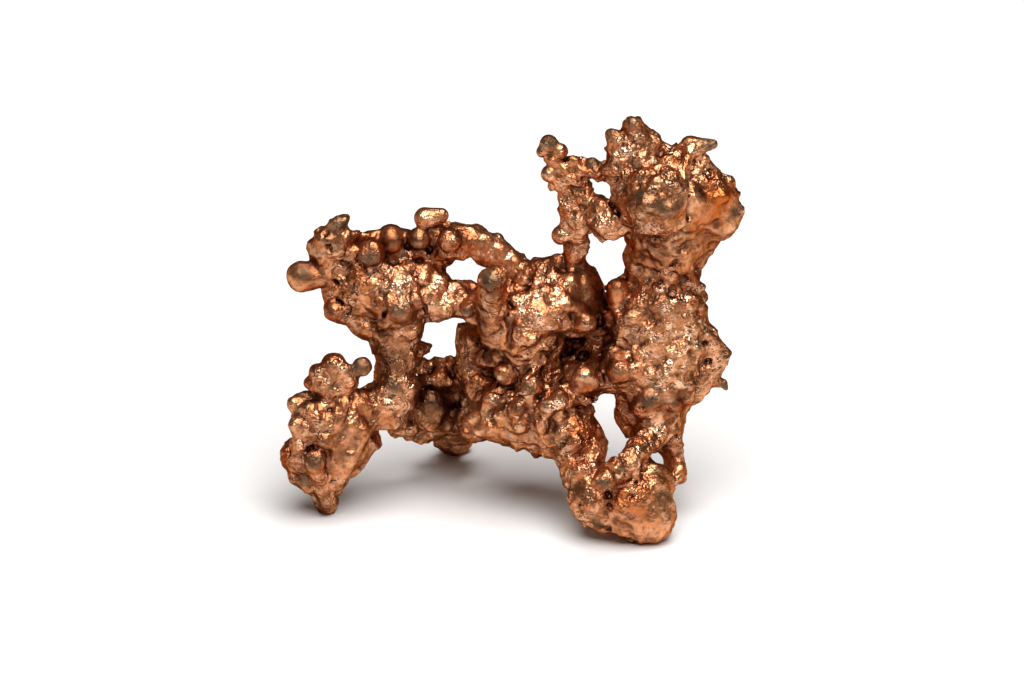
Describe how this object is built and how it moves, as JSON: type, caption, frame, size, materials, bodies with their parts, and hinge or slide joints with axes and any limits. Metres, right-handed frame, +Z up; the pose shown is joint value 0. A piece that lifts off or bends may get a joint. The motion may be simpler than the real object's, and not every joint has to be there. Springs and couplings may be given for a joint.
{
  "type": "native copper nugget",
  "caption": "Branching native copper nugget of lumps, strands and round beads, standing on three feet.",
  "frame": {"origin": "on the ground, below the middle of the bounding box", "axes": "+Z up, +X to the right along the widest way, +Y away from the side that is shown"},
  "size_m": [0.0398, 0.0238, 0.0364],
  "materials": {
    "copper": "bare native copper, bright on the raised grains, darker red-brown in the hollows, olive tarnish on some ends"
  },
  "bodies": {
    "root": {"nugget": "copper"}
  },
  "joints": []
}
